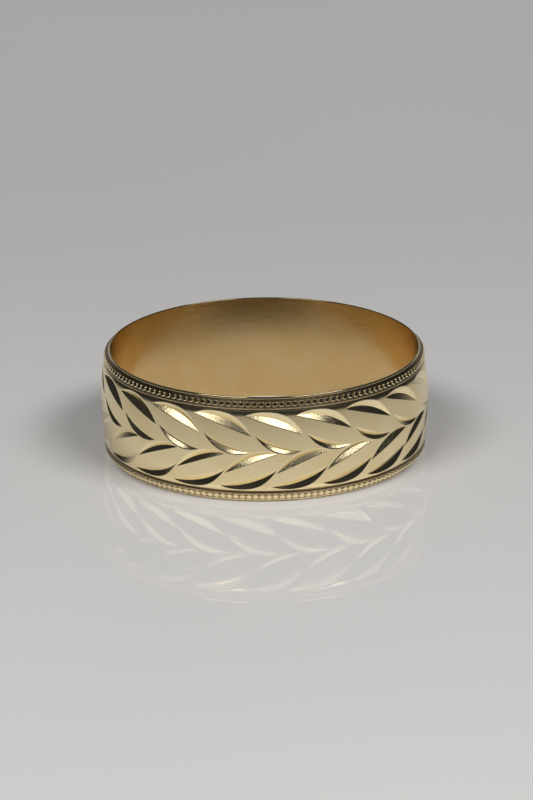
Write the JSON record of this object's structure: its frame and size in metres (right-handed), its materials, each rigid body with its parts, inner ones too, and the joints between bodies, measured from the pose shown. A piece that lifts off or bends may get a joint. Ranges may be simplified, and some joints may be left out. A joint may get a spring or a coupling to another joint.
{
  "type": "wedding band",
  "caption": "Domed finger ring with a laurel of engraved leaves running round it between beaded edges, and a plain round finger bore.",
  "frame": {"origin": "centre of the ring: on the axis of the finger bore, midway between the two rims", "axes": "+Z along the finger bore, towards the rim that is up when the ring stands as in the picture; -Y towards the viewer; the engraved leaves point from -X to +X across the -Y side"},
  "size_m": [0.0198, 0.0198, 0.0066],
  "materials": {
    "band_gold": "satin",
    "bead_gold": "polished"
  },
  "bodies": {
    "root": {"band": "band_gold", "upper_bead_wire": "bead_gold", "lower_bead_wire": "bead_gold"}
  },
  "joints": []
}
